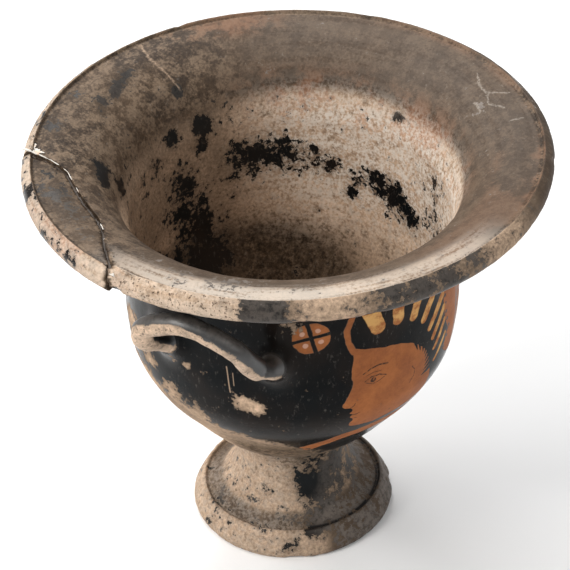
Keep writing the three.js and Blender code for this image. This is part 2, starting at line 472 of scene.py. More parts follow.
def smooth_roots(piece, places):
    """Rounds the corner where the handles' roots meet the wall."""
    line = handle_line()
    seam = np.zeros(len(places.points))
    for side in (1, -1):
        for end in (line[0], line[-1]):
            root = (end + (8, 0, 1.5)) * (side, 1, 1)
            away = np.linalg.norm(places.points - root, axis=1)
            seam = np.maximum(seam, 1 - rise(away, *ROOT_REACH))
    seam[places.inside] = 0
    shape = bmesh.new()
    shape.from_mesh(piece.data)
    shape.verts.ensure_lookup_table()
    chosen = [v for v in shape.verts if seam[v.index] > 0.02]
    for _ in range(ROOT_ROUNDS):
        targets = []
        for v in chosen:
            around = [e.other_vert(v).co for e in v.link_edges]
            middle = sum(around, Vector()) / len(around)
            targets.append(v.co.lerp(middle, 0.6 * seam[v.index]))
        for v, target in zip(chosen, targets):
            v.co = target
    shape.to_mesh(piece.data)
    shape.free()


# ---------------------------------------------------------------- wear of the surface
# How low the black glaze reaches on the body, round the vessel: azimuth, height.
GLAZE_EDGE = [(-180, 100), (-150, 106), (-128, 106), (-108, 102), (-96, 95), (-84, 91), (-72, 86),
              (-62, 78), (-50, 66), (-30, 60), (0, 60), (60, 62), (120, 74), (180, 100)]
# How much glaze is left on the lip's face, round the vessel.
LIP_GLAZE = [(-180, 0.42), (-150, 0.35), (-120, 0.36), (-107, 0.2), (-96, 0.12), (-76, 0.16), (-74.2, 0.98),
             (-67, 0.86), (-62, 0.2), (-53, 0.24), (-46, 0.66), (-24, 0.6), (-16, 0.26), (30, 0.26),
             (90, 0.5), (180, 0.42)]
# The centre of the painted shade on the bowl's floor, which is partly dirt: azimuth, distance from the
# axis.
SHADE_AND_DIRT_CENTRE = (142, 44)
# Patches of glaze that are left (above zero) or lost (below zero):
# azimuth, radius, height, size in mm, strength.
GLAZE_PATCHES = [
    (162.5, 103, 203, 4.5, 0.7), (165.5, 100, 202.5, 4, 0.75), (169, 99, 202, 4.5, 0.8),
    (172, 96, 201, 3.5, 0.6), (176.5, 98, 202, 4.5, 0.7), (-180, 95, 201, 3.5, 0.6),
    (179, 110, 205, 6, 0.45), (152.5, 85, 194, 5, 0.75), (147.6, 76, 176, 6, 0.85),
    (149.5, 74, 166, 5, 0.55), (161.5, 76, 176, 5, 0.75), (-157, 85, 194, 7, 0.8),
    (-151, 84, 193, 6, 0.6), (-160, 77, 181, 6, 0.6), (-167, 110, 205, 8, 0.5), (160, 73, 152, 13, 0.28),
    (160, 72, 134, 18, 0.36), (152, 72, 118, 14, 0.34), (168, 70, 106, 18, 0.34),
    (148, 71, 104, 12, 0.28), (136, 73, 152, 13, 0.38), (124, 73, 153, 14, 0.44),
    (112, 73, 151, 12, 0.45), (100, 72.5, 147, 10, 0.42), (91, 72.5, 133, 5, 0.62),
    (86, 72.5, 144, 10, 0.4), (76, 72.5, 143, 11, 0.44), (69, 72.5, 137, 12, 0.52),
    (62, 72.5, 130, 9, 0.42), (50, 73, 158, 16, 0.26), (47, 72, 138, 12, 0.3), (150, 66, 98, 18, 0.28),
    (104, 72, 120, 3, 0.7), (-92, 102, 203, 12, 0.3), (-78, 102, 203, 14, 0.34),
    (-62, 103, 203.5, 10, 0.22), (-104, 97, 201, 9, 0.28), (73, 77.6, 181.5, 4, 0.75),
    (46.5, 96, 201, 6, 0.35), (95, 114.6, 205.6, 2.5, 0.6), (-82, 77, 117.7, 8, -0.85),
    (-77, 76.6, 114.5, 5, -0.8), (-103, 77.6, 131, 3.5, -0.85), (-108, 77.6, 133, 3, -0.75),
    (-97.5, 77.6, 129, 3, -0.7), (-112, 76, 110, 8, -0.6), (-136, 77, 128, 10, -0.55),
    (-146, 77.5, 142, 8, -0.6), (-90, 77.5, 150, 5, -0.4), (-67, 79, 168, 6, -0.6),
    (-64, 78, 161, 5, -0.6), (-122, 77, 118, 7, -0.5), (-99, 74, 104, 9, -0.5), (-140, 106, 205, 12, 0.5),
    (-130, 103, 204, 10, 0.45), (-149.5, 107, 205, 6, 0.4), (-120, 106, 204, 8, 0.35),
    (-143, 119, 199, 7, 0.4), (-128, 119, 198, 6, 0.35), (-117, 119, 201, 5, 0.3),
    (-70, 100, 203, 9, 0.22), (-44, 27, 27, 9, 0.45), (-40, 38, 15, 7, 0.45), (-132, 42, 14, 7, 0.2),
    (-111, 38, 15, 8, 0.2), (-66, 47, 7, 6, 0.3), (-50, 43, 12, 6, 0.35), (-18, 26, 34, 8, 0.35),
    (100, 77, 120, 9, -0.7), (128, 77, 104, 11, -0.7), (60, 76, 100, 9, -0.6), (170, 77, 125, 8, -0.5),
]


def curve_at(table, x):
    """The value at x of a line through the table's points."""
    xs, ys = np.array(table).T
    return np.interp(x, xs, ys)


def glaze_left(p):
    """How surely the black glaze is still there, 0 to 1."""
    a = p.azimuth
    edge = curve_at(GLAZE_EDGE, a)
    glaze = np.where(p.body, 0.06 + 0.9 * rise(p.z, edge - 8, edge + 9), 0)
    left_side = arc_window(a, -170, -122, 8) * p.body
    glaze -= left_side * 0.32 * (1 - rise(p.z, 128, 152))
    glaze = np.where(p.lip, curve_at(LIP_GLAZE, a), glaze)
    under = p.lip & (p.r < 112) & (p.z < 200)
    glaze = np.where(under, 0.8, glaze)
    brown_side = arc_window(a, 138, 215, 14) * rise(p.r, 15, 50)
    wall_glaze = 0.18 + 0.10 * brown_side
    glaze = np.where(p.inside, 0.13 * p.rim_top + wall_glaze * (1 - p.rim_top), glaze)
    stem = p.foot & (p.z > FOOT_RIM_HEIGHT - 0.3)
    glaze = np.where(stem, 0.27 + 0.26 * arc_window(a, -58, 75, 16), glaze)
    edge_of_foot = p.foot & (p.z <= FOOT_RIM_HEIGHT - 0.3)
    glaze = np.where(edge_of_foot, 0.27 + 0.35 * arc_window(a, -38, 70, 12), glaze)
    hollow = (p.z < 36) & (p.r < 39) & (p.z < 0.95 * (46 - p.r))
    glaze = np.where(hollow, 0.05, glaze)
    glaze = glaze * (1 - p.handle) + handle_glaze(p) * p.handle
    for azimuth, r, z, size, strength in GLAZE_PATCHES:
        away = np.linalg.norm((p.points - spot(azimuth, r, z)) * (1, 1, 1.1), axis=1)
        glaze += strength * (1 - rise(away, 0, 1.45 * size))
    return np.clip(glaze, 0, 1.05)


def handle_glaze(p):
    """The outer lower side of the bar has lost its glaze, less so towards side A's end."""
    outward = np.sign(p.points[:, 0])
    low = p.bar_way[:, 0] * outward * 0.62 - p.bar_way[:, 2] * 0.78
    toward_a = rise(p.points[:, 1] * outward, -20, 26)
    limit = 0.02 + 0.5 * toward_a
    bare = rise(low, limit - 0.12, limit + 0.12)
    bare *= 1 - 0.5 * rise(-p.points[:, 0] * outward, -84, -74)
    return 0.97 - 0.9 * bare


def broken(p):
    """1 on the fracture's two faces and their edges."""
    line = fracture_line(0.8)
    tree = kdtree.KDTree(len(line))
    for i, (x, y) in enumerate(line):
        tree.insert((x, y, 0), i)
    tree.balance()
    result = np.zeros(len(p.points))
    for i in np.flatnonzero((p.z > 190) & (p.r > 88) & (p.azimuth < -95)):
        x, y, _ = p.points[i]
        result[i] = tree.find((x, y, 0))[2] < FRACTURE_DIRT_WIDTH
    return result


def film_shade_and_sheen_left(p):
    """How thick the brown-grey film lies, with painted shade on the bowl's left wall and painted sheen on
    the handles' tops and the lip's front.
    """
    a = p.azimuth
    film = 0.95 * p.rim_top * (1 - 0.42 * p.near_rim * rise(p.r, 96, 106))
    film += 0.95 * p.lip * arc_window(a, 0, 150, 14) + 0.3 * p.lip * arc_window(a, -22, 0, 6)
    # Painted shade on the bowl's left wall, partly brown film.
    film += 0.5 * p.wall * p.left_wall
    film -= 0.3 * p.rim_top * rise(p.r, 111, 114) * arc_window(a, 60, 150, 14)
    film += 0.14 * p.foot + 0.7 * p.foot * arc_window(a, -45, 80, 14) * (1 - 0.6 * rise(p.z, 11, 16))
    film += 0.6 * p.foot * window(p.r, 33, 42, 3) * (p.z > FOOT_TOP)
    # Painted highlight along the handles' upper sides: dull grey glaze where this lies, partly worn glaze.
    film += 0.45 * p.handle * rise(p.bar_way[:, 2], 0.3, 0.9)
    # Painted sheen on the lip's front: dull grey glaze, partly weathered glaze.
    film += 0.38 * p.lip * arc_window(a, -76, -20, 3)
    edge = curve_at(GLAZE_EDGE, a)
    film += 0.55 * p.body * (1 - rise(p.z, edge - 6, edge + 4)) * rise(p.z, edge - 26, edge - 12)
    return film


def lime_and_light_left(p):
    """How much pale lime the water left, and painted light on the bowl's right and far wall, which is
    partly lime.
    """
    a = p.azimuth
    pale = (0.42 + 0.16 * arc_window(a, -92, -52, 12)) * p.near_rim * rise(p.r, 98, 109)
    # Painted light on the bowl's right and far wall, partly pale lime.
    pale += 0.92 * p.wall * arc_window(a, 10, 122, 20) * rise(p.z, 96, 146)
    pale += 0.2 * p.foot * arc_window(a, -175, -60, 20)
    pale += 0.3 * p.lip * arc_window(a, -180, -76, 6)
    pale += 0.03 * p.rim_top * arc_window(a, 20, 130, 18)
    return pale


def red_clay(p):
    """Where the clay or the film burnt red."""
    a = p.azimuth
    red = 0.7 * p.inside * window(p.z, 172, 191, 7) * arc_window(a, 18, 128, 16)
    red += 0.5 * p.rim_top * arc_window(a, 118, 150, 8) * rise(p.r, 98, 106)
    red += 0.65 * p.lip * arc_window(a, -140, -104, 8)
    red += 0.18 * p.rim_top * arc_window(a, -30, 30, 10) * rise(p.r, 88, 96)
    red += 0.3 * p.rim_top * arc_window(a, 0, 90, 14) * rise(p.r, 110, 114)
    red += 0.5 * p.lip * (1 - rise(p.z, 196, 200)) * arc_window(a, -60, 20, 8)
    return red


def dirt_and_shade_left(p):
    """Where it is dark: painted shade, partly dirt, on the bowl's floor and left side; dirt in the grooves;
    darker on the underside of the body.
    """
    a = p.azimuth
    # The bowl's floor, darkest round one point: painted shade, partly dirt.
    deep = p.wall * (1 - rise(p.z, 96, 126))
    from_shade_centre = np.hypot(*(p.points[:, :2] - plan_point(*SHADE_AND_DIRT_CENTRE)).T)
    dirt = 0.35 * deep + 1.1 * deep * (1 - rise(from_shade_centre, 30, 66))
    # Painted shade on the bowl's left wall, partly dirt.
    dirt += 0.34 * p.wall * p.left_wall
    dirt += 0.05 * p.foot + 0.25 * p.rim_top * arc_window(a, -160, -108, 6)
    dirt += 0.8 * ~p.inside * window(p.z, 44, 80, 8) * arc_window(a, -100, -30, 14)
    dirt += 0.3 * p.foot * rise(p.z, 20, 32) * arc_window(a, -72, -40, 10)
    dirt += 0.35 * p.rim_top * arc_window(a, 136, 212, 14)
    dirt += 0.8 * p.inside * (p.z > 203) * np.exp(-((p.r - GROOVE_RADIUS) / 0.7) ** 2)
    dirt += 0.6 * p.foot * (p.z > FOOT_TOP) * np.exp(-((p.r - FOOT_GROOVE_RADIUS) / 1.1) ** 2)
    dirt += 0.1 * p.foot * (p.z > FOOT_TOP) * window(p.r, 34, 42, 2)
    return dirt


def pores_open(p):
    """Where the bare clay is rough and pitted."""
    pores = 0.9 * p.lip * arc_window(p.azimuth, -106, -75, 2)
    pores += 0.5 * p.near_rim + 1.0 * p.handle + 0.45 * p.foot + 0.25 * p.wall
    return pores + 0.25 * p.lip


def surface_fields(p):
    """Six numbers per point, 0 to 1: glaze, grey film with painted shade and sheen, pale lime with painted
    light, red clay, dirt with painted shade, pores.
    """
    whole = 1 - broken(p)
    fields = [glaze_left(p) * whole, film_shade_and_sheen_left(p), lime_and_light_left(p) * whole, red_clay(p),
              dirt_and_shade_left(p) + 1 - whole, pores_open(p)]
    return [np.clip(f, 0, 1.05) for f in fields]


def write_fields(piece, fields):
    """Keeps the fields on the mesh, as two vectors that the materials read."""
    for name, trio in (("cover", fields[:3]), ("tint", fields[3:])):
        attribute = piece.data.attributes.new(name, "FLOAT_VECTOR", "POINT")
        attribute.data.foreach_set("vector", np.stack(trio, axis=1).astype(np.float32).ravel())


# ---------------------------------------------------------------- colours, linear
CLAY_TAN = (0.69, 0.49, 0.34)
CLAY_BROWN = (0.33, 0.235, 0.16)
CLAY_PINK = (0.52, 0.30, 0.20)
CLAY_RED = (0.30, 0.135, 0.07)
FILM_GREY = (0.040, 0.028, 0.021)
FILM_BROWN = (0.083, 0.054, 0.034)
GLAZE_BLACK = (0.0040, 0.0052, 0.0060)
GLAZE_BROWN = (0.014, 0.010, 0.008)
# Dull worn glaze, also the painted sheen on the handles' tops and the lip's front.
GLAZE_DULL_AND_SHEEN = (0.20, 0.166, 0.14)
STAIN = (0.10, 0.072, 0.050)
# Pale lime, also the painted light on the bowl's right wall.
DEPOSIT_AND_LIGHT = (0.68, 0.61, 0.53)
# Dirt, and the painted shade in the bowl.
DIRT_AND_SHADE = (0.028, 0.017, 0.008)
PORE = (0.07, 0.045, 0.028)
TERRACOTTA = (0.36, 0.125, 0.042)
TERRACOTTA_DEEP = (0.27, 0.092, 0.034)
OCHRE = (0.66, 0.37, 0.13)
THIN_LINE = (0.05, 0.028, 0.02)
ROSETTE_PINK = (0.60, 0.36, 0.27)
PLASTER = (0.70, 0.66, 0.60)
GLUE = (0.05, 0.032, 0.02)
FLOOR_WHITE = (0.92, 0.92, 0.92)

# How strongly each surface mirrors: the rims and foot, the glazed wall, the handles.
SHINE_WORN = 0.16
SHINE_WALL = 0.06
SHINE_HANDLE = 1.0


# ---------------------------------------------------------------- shader nodes
class Value:
    """A shader number that is added, taken away and multiplied as a plain number is."""

    def __init__(self, n, socket):
        self.n = n
        self.socket = socket

    def __add__(self, other):
        return self.n.math("ADD", self, other)

    def __sub__(self, other):
        return self.n.math("SUBTRACT", self, other)

    def __rsub__(self, other):
        return self.n.math("SUBTRACT", other, self)

    def __mul__(self, other):
        return self.n.math("MULTIPLY", self, other)


class Nodes:
    """One material and short names for its shader nodes. Places and lengths are in mm."""

    def __init__(self, name):
        self.material = bpy.data.materials.new(name)
        self.material.use_nodes = True
        self.tree = self.material.node_tree
        self.tree.nodes.clear()
        metres = Value(self, self.put("ShaderNodeTexCoord").outputs["Object"])
        self.place = self.vector("SCALE", metres, scale=1 / MM)

    def put(self, kind, **settings):
        node = self.tree.nodes.new(kind)
        for name, value in settings.items():
            setattr(node, name, value)
        return node

    def plug(self, value, socket):
        if isinstance(value, Value):
            self.tree.links.new(value.socket, socket)
        else:
            socket.default_value = value

    def math(self, operation, *values, clamp=False):
        node = self.put("ShaderNodeMath", operation=operation, use_clamp=clamp)
        for value, socket in zip(values, node.inputs):
            self.plug(value, socket)
        return Value(self, node.outputs[0])

    def limited(self, value, factor=1.0, plus=0.0):
        """value * factor + plus, kept between 0 and 1."""
        return self.math("MULTIPLY_ADD", value, factor, plus, clamp=True)

    def vector(self, operation, a, b=None, scale=None):
        node = self.put("ShaderNodeVectorMath", operation=operation)
        for value, name in ((a, 0), (b, 1), (scale, "Scale")):
            if value is not None:
                self.plug(value, node.inputs[name])
        gives_number = operation in ("DOT_PRODUCT", "LENGTH", "DISTANCE")
        return Value(self, node.outputs["Value" if gives_number else "Vector"])

    def step(self, value, start, end):
        """0 at start, 1 at end, smooth between."""
        node = self.put("ShaderNodeMapRange", interpolation_type="SMOOTHSTEP")
        for given, name in ((value, "Value"), (start, "From Min"), (end, "From Max")):
            self.plug(given, node.inputs[name])
        return Value(self, node.outputs["Result"])

    def mix(self, share, a, b):
        """The colour a where share is 0 and b where it is 1."""
        node = self.put("ShaderNodeMix", data_type="RGBA")
        self.plug(share, node.inputs[0])
        self.plug((*a, 1) if isinstance(a, tuple) else a, node.inputs[6])
        self.plug((*b, 1) if isinstance(b, tuple) else b, node.inputs[7])
        return Value(self, node.outputs[2])

    def noise(self, scale, detail=3, rough=0.55, shift=None, place=None):
        """Soft noise about 0.5. scale is how many of its largest lumps fit in a mm."""
        place = place or self.place
        if shift:
            place = self.vector("ADD", place, shift)
        node = self.put("ShaderNodeTexNoise")
        for value, name in ((place, "Vector"), (scale, "Scale"), (detail, "Detail"), (rough, "Roughness")):
            self.plug(value, node.inputs[name])
        return Value(self, node.outputs["Fac"])

    def parts(self, vector):
        node = self.put("ShaderNodeSeparateXYZ")
        self.plug(vector, node.inputs[0])
        return [Value(self, socket) for socket in node.outputs]

    def join(self, x, y, z):
        node = self.put("ShaderNodeCombineXYZ")
        for value, socket in zip((x, y, z), node.inputs):
            self.plug(value, socket)
        return Value(self, node.outputs[0])

    def attribute(self, name):
        return Value(self, self.put("ShaderNodeAttribute", attribute_name=name).outputs["Vector"])

    def least(self, fields):
        """The least of several fields. A generator keeps few of them waiting at a time."""
        fields = iter(fields)
        result = next(fields)
        for other in fields:
            result = self.math("MINIMUM", result, other)
        return result

    def stroke(self, place, start, end, thick, thin=None):
        """The distance from a brush stroke that tapers from half width thick to thin, below 0 inside."""
        thin = thick if thin is None else thin
        start, end = Vector((*start, 0)), Vector((*end, 0))
        along = end - start
        way = self.vector("SUBTRACT", place, tuple(start))
        share = self.limited(self.vector("DOT_PRODUCT", way, tuple(along / along.length_squared)))
        nearest = self.vector("SCALE", tuple(along), scale=share)
        away = self.vector("DISTANCE", way, nearest)
        return away - self.math("MULTIPLY_ADD", share, thin - thick, thick)

    def strokes(self, place, points, thick, thin=None):
        """A bent stroke through the points."""
        thin = thick if thin is None else thin
        count = len(points) - 1
        halves = [thick + (thin - thick) * i / count for i in range(count + 1)]
        return self.least(self.stroke(place, points[i], points[i + 1], halves[i], halves[i + 1])
                          for i in range(count))

    def disc(self, place, centre, radius):
        return self.vector("DISTANCE", place, (*centre, 0)) - radius

    def oval(self, place, centre, wide, high):
        way = self.vector("SUBTRACT", place, (*centre, 0))
        way = self.vector("MULTIPLY", way, (1 / wide, 1 / high, 1))
        least = min(wide, high)
        return self.vector("LENGTH", way) * least - least

    def curve(self, value, points):
        """A smooth curve through (input, output) points, as a float curve over their own ranges."""
        xs, ys = zip(*points)
        low_x, span_x = min(xs), max(xs) - min(xs)
        low_y, span_y = min(ys), max(ys) - min(ys)
        node = self.put("ShaderNodeFloatCurve")
        line = node.mapping.curves[0]
        while len(line.points) < len(points):
            line.points.new(0.5, 0.5)
        for point, (x, y) in zip(line.points, sorted(points)):
            point.location = ((x - low_x) / span_x, (y - low_y) / span_y)
            point.handle_type = "AUTO"
        node.mapping.update()
        self.plug(self.limited(value, 1 / span_x, -low_x / span_x), node.inputs["Value"])
        return Value(self, node.outputs[0]) * span_y + low_y

    def finish(self, colour, rough, relief, strength, shine=0.5):
        """Puts the surface together from its colour, roughness and relief in mm."""
        bump = self.put("ShaderNodeBump")
        bump.inputs["Strength"].default_value = strength
        bump.inputs["Distance"].default_value = MM
        self.plug(relief, bump.inputs["Height"])
        shader = self.put("ShaderNodeBsdfPrincipled")
        shader.inputs["Specular IOR Level"].default_value = shine
        self.plug(colour, shader.inputs["Base Color"])
        self.plug(rough, shader.inputs["Roughness"])
        self.tree.links.new(bump.outputs[0], shader.inputs["Normal"])
        out = self.put("ShaderNodeOutputMaterial")
        self.tree.links.new(shader.outputs[0], out.inputs[0])
        return self.material


# ---------------------------------------------------------------- the painted picture, in mm on the wall
# across is measured round the body from the middle of the side, up is the height.
PICTURE_RADIUS = 77
BRUSH_SOFTNESS = 0.24
# A calm profile of textbook proportions, facing left: height, how far the outline lies to the side.
FACE_PROFILE = [(93.5, -44), (95, -52), (96.4, -58.6), (98.4, -60.9), (100.4, -60.6), (102.2, -59.3),
                (103.6, -59.8), (105.2, -61.2), (106.5, -60.1), (107.8, -61.4), (109.4, -60.4),
                (110.8, -60.9), (112.2, -64.2), (113.8, -65.4), (116, -64.2), (120, -62.4),
                (124.5, -60.9), (127, -60.6), (130, -61.2), (135, -60.8), (140, -60.2), (146, -60.2)]
FACE_BOTTOM = 94
FACE_TOP = 146
# Its thin lines: points, and half widths at the two ends.
FACE_STROKES = [
    ([(-55.5, 130), (-52, 132), (-47.5, 132.6), (-43, 131.6)], 0.28, 0.5),
    ([(-54.6, 125.4), (-51.5, 127.2), (-47.5, 127.2), (-43.6, 125.3)], 0.32, 0.34),
    ([(-54, 124.4), (-51, 122.9), (-47.5, 123.3), (-44.6, 124.6)], 0.2, 0.22),
    ([(-54, 128.6), (-50.8, 129.5), (-46.4, 129)], 0.16, 0.2),
    ([(-61.6, 111.5), (-60, 112.3), (-59.2, 113.6)], 0.3, 0.18),
    ([(-60.6, 106.5), (-57.8, 106.2), (-56.4, 106.9)], 0.34, 0.16),
    ([(-58.8, 103.6), (-57.6, 103.4)], 0.2, 0.2),
    ([(-29, 112), (-26.8, 115), (-26.4, 119), (-28.2, 122)], 0.22, 0.3),
]
PUPIL = (-50.6, 125.2)
PUPIL_RADIUS = 1.45
# The hair's lower edge round the face: height, how far across.
HAIR_EDGE = [(92, -11), (104, -12.6), (112, -14.2), (120, -16.4), (128, -20.8), (134, -26.5),
             (138.6, -34.5), (141.5, -45), (144, -54), (147, -62)]
HAIR_CONTOUR = [(-54.5, 169), (-60.5, 165), (-63.2, 157.5), (-62.4, 150), (-60, 144)]
# The locks of the fringe stand on an arc round their centre and point back into the face.
FRINGE_LOCKS = 9
FRINGE_CENTRE = (-33.5, 119.5)
FRINGE_FIRST_ANGLE = 68
FRINGE_SPREAD = 86
FRINGE_RADIUS = 18.6
FRINGE_GAIN = 1.6
FRINGE_LENGTH = 6.8
FRINGE_LEAN = 212
# The spikes of the head-band: their own fan, where it begins, and how each differs from the one before.
RAYS = 8
RAY_CENTRE = (-35, 122)
RAY_FIRST_ANGLE = 112
RAY_TURN = -18.4
RAY_LEAST_ANGLE = 47
RAY_START = 34.5
RAY_START_STEP = -2.7
RAY_START_LEAST = 22.5
RAY_LAST_GAIN = 2.5
RAY_LENGTH = 19
RAY_SHORTENING = 0.045
RAY_HALF = 4.3
RAY_THINNING = 0.80
RAY_HALF_LEAST = 0.35
CAP_CENTRE = (15, 137)
CAP_SIZE = (25, 31)
CAP_EDGE = [(100, -15), (110, -8.5), (118, -3), (125, 0.2), (133, -3), (143, -4.8), (152, -5.4), (172, -7)]
CAP_BANDS = [(13.5, 0.55), (16.5, 0.55), (30, 0.5)]
GROUND_BAND = [(-84, 74), (-73, 80.5), (-61, 86), (-45, 87.3), (0, 87.6), (45, 86), (70, 80), (80, 75)]
ROSETTE_CENTRE = (-79, 156.5)
ROSETTE_RADIUS = 8.6
ROSETTE_BARS = (12, 102)
ROSETTE_BAR_HALF = 0.95
ROSETTE_DOTS_AT = 4.9
ROSETTE_DOT_RADIUS = 1.25


def unit(angle):
    return Vector((math.cos(angle * DEGREE), math.sin(angle * DEGREE)))


def face_lines(n, place):
    """The thin lines of the face: brow, lids, eye, nostril, mouth and ear."""
    for points, thick, thin in FACE_STROKES:
        yield n.strokes(place, points, thick, thin)
    yield n.disc(place, PUPIL, PUPIL_RADIUS)


def ray_strokes(n, place, first=0):
    """The spikes of the head-band, a fan of brush strokes that get thinner and lean over."""
    for i in range(first, RAYS):
        angle = RAY_FIRST_ANGLE + RAY_TURN * i
        inner = max(RAY_START + RAY_START_STEP * i, RAY_START_LEAST) + RAY_LAST_GAIN * (i == RAYS - 1)
        start = Vector(RAY_CENTRE) + inner * unit(angle)
        lean = max(angle, RAY_LEAST_ANGLE)
        length = RAY_LENGTH * (1 - RAY_SHORTENING * i)
        half = RAY_HALF * RAY_THINNING ** i + RAY_HALF_LEAST
        yield n.stroke(place, start, start + length * unit(lean), half * 0.8, half * 0.95)


def fringe_strokes(n, place):
    """Short pointed locks along the hair's edge over the ear."""
    for i in range(FRINGE_LOCKS):
        share = i / (FRINGE_LOCKS - 1)
        angle = FRINGE_FIRST_ANGLE - FRINGE_SPREAD * share
        start = Vector(FRINGE_CENTRE) + (FRINGE_RADIUS + FRINGE_GAIN * share) * unit(angle)
        yield n.stroke(place, start, start + FRINGE_LENGTH * unit(angle + FRINGE_LEAN), 1.75, 0.2)


def cap_strokes(n, place):
    """Dots along the cap's edge, and thin bands and dots across it."""
    for height in range(111, 160, 5):
        across = float(curve_at(CAP_EDGE, height)) + 2.4
        yield n.disc(place, (across, height), 0.95)
    edge = [(float(curve_at(CAP_EDGE, height)) + 0.4, height) for height in (109, 118, 125, 133, 143, 158)]
    yield n.strokes(place, edge, 0.42)
    for across, half in CAP_BANDS:
        bow = 0.18 * across
        band = [(across - bow, 108), (across, 124), (across, 142), (across - bow, 165)]
        yield n.strokes(place, band, half)
    for height in range(116, 160, 8):
        yield n.disc(place, (22.5, height), 1.15)


def rosette_bars(n, place):
    for angle in ROSETTE_BARS:
        way = ROSETTE_RADIUS * 1.2 * unit(angle)
        centre = Vector(ROSETTE_CENTRE)
        yield n.stroke(place, centre - way, centre + way, ROSETTE_BAR_HALF)


def rosette_dots(n, place):
    for angle in ROSETTE_BARS:
        for turn in (45, 225):
            centre = Vector(ROSETTE_CENTRE) + ROSETTE_DOTS_AT * unit(angle + turn)
            yield n.disc(place, centre, ROSETTE_DOT_RADIUS)


def tuft_strokes(n, place):
    """The hair that comes out at the back of the cap."""
    for i in range(5):
        yield n.stroke(place, (37, 141 + 4.6 * i), (46.5, 137 + 7.4 * i), 1.2, 1.7)


def without(n, shape, hole):
    """A shape with another one left out of it, both as distances."""
    return n.math("MAXIMUM", shape, hole * -1)


def face_shape(n, place):
    """The bare clay of the face, between its profile, the hair and the cut of the neck."""
    across, up, _ = n.parts(place)
    face = n.curve(up, FACE_PROFILE) - across
    face = n.math("MAXIMUM", face, across - n.curve(up, HAIR_EDGE))
    face = n.math("MAXIMUM", face, FACE_BOTTOM - up)
    face = n.math("MAXIMUM", face, up - FACE_TOP)
    return without(n, face, n.least(fringe_strokes(n, place)))


def brushed(n, shape):
    """1 inside a shape and 0 outside it, with a soft edge."""
    return n.step(shape, BRUSH_SOFTNESS, -BRUSH_SOFTNESS)


# Each part of the picture gives (bare red clay, added ochre, thin brown lines, pink dots).
def draw_face(n, place):
    return brushed(n, face_shape(n, place)), None, brushed(n, n.least(face_lines(n, place))), None


def draw_crown(n, place):
    bare = n.math("MINIMUM", face_shape(n, place), n.strokes(place, HAIR_CONTOUR, 1.5, 1.3))
    return brushed(n, bare), brushed(n, n.least(ray_strokes(n, place))), None, None


def draw_cap(n, place):
    across, up, _ = n.parts(place)
    cap = n.oval(place, CAP_CENTRE, *CAP_SIZE)
    cap = n.math("MAXIMUM", cap, n.curve(up, CAP_EDGE) - across)
    cap = without(n, cap, n.least(cap_strokes(n, place)))
    return brushed(n, cap), brushed(n, n.least(ray_strokes(n, place, 4))), None, None


def draw_tuft(n, place):
    cap = n.oval(place, CAP_CENTRE, *CAP_SIZE)
    tuft = n.math("MINIMUM", cap, n.least(tuft_strokes(n, place)))
    return brushed(n, tuft), None, None, None


def draw_rosette(n, place):
    petals = n.disc(place, ROSETTE_CENTRE, ROSETTE_RADIUS)
    petals = without(n, petals, n.least(rosette_bars(n, place)))
    return brushed(n, petals), None, None, brushed(n, n.least(rosette_dots(n, place)))


def draw_band(n, place):
    return brushed(n, n.strokes(place, GROUND_BAND, 3.9, 3.3)), None, None, None


# Where each part is drawn: least and greatest place across, then least and greatest height.
DRAWINGS = [
    ("painted_face", (-70, -24), (92.6, 138.5), draw_face),
    ("painted_crown", (-70, -9), (92.6, 176), draw_crown),
    ("painted_cap", (-9, 33), (92.6, 176), draw_cap),
    ("painted_tuft", (33, 56), (92.6, 176), draw_tuft),
    ("painted_rosette", (-92, -70), (92.6, 176), draw_rosette),
    ("painted_band", (-96, 96), (68, 92.6), draw_band),
]


# ---------------------------------------------------------------- materials
# The old crack across the rim, and the fine pale veins on it, in plan: two points each, then half width.
CRACK = [((51, 100.5), (44, 90), 0.5), ((44, 90), (40, 75), 0.3)]
VEINS = [((84, -58), (78, -66)), ((78, -66), (71, -69)), ((71, -69), (69, -78)), ((78, -66), (80, -76)),
         ((66, -66), (72, -62)), ((84, -58), (90, -56)), ((60, -84), (63, -90))]
VEIN_HALF = 0.2
CRACKS_ABOVE = 191.0
# Two scratches in the wall's glaze: how far round the body and how high, at both ends, then half width.
HAIRLINES = [((-117.6, 137), (-116.4, 122.5), 0.26), ((-114.8, 134), (-114.4, 127), 0.16)]


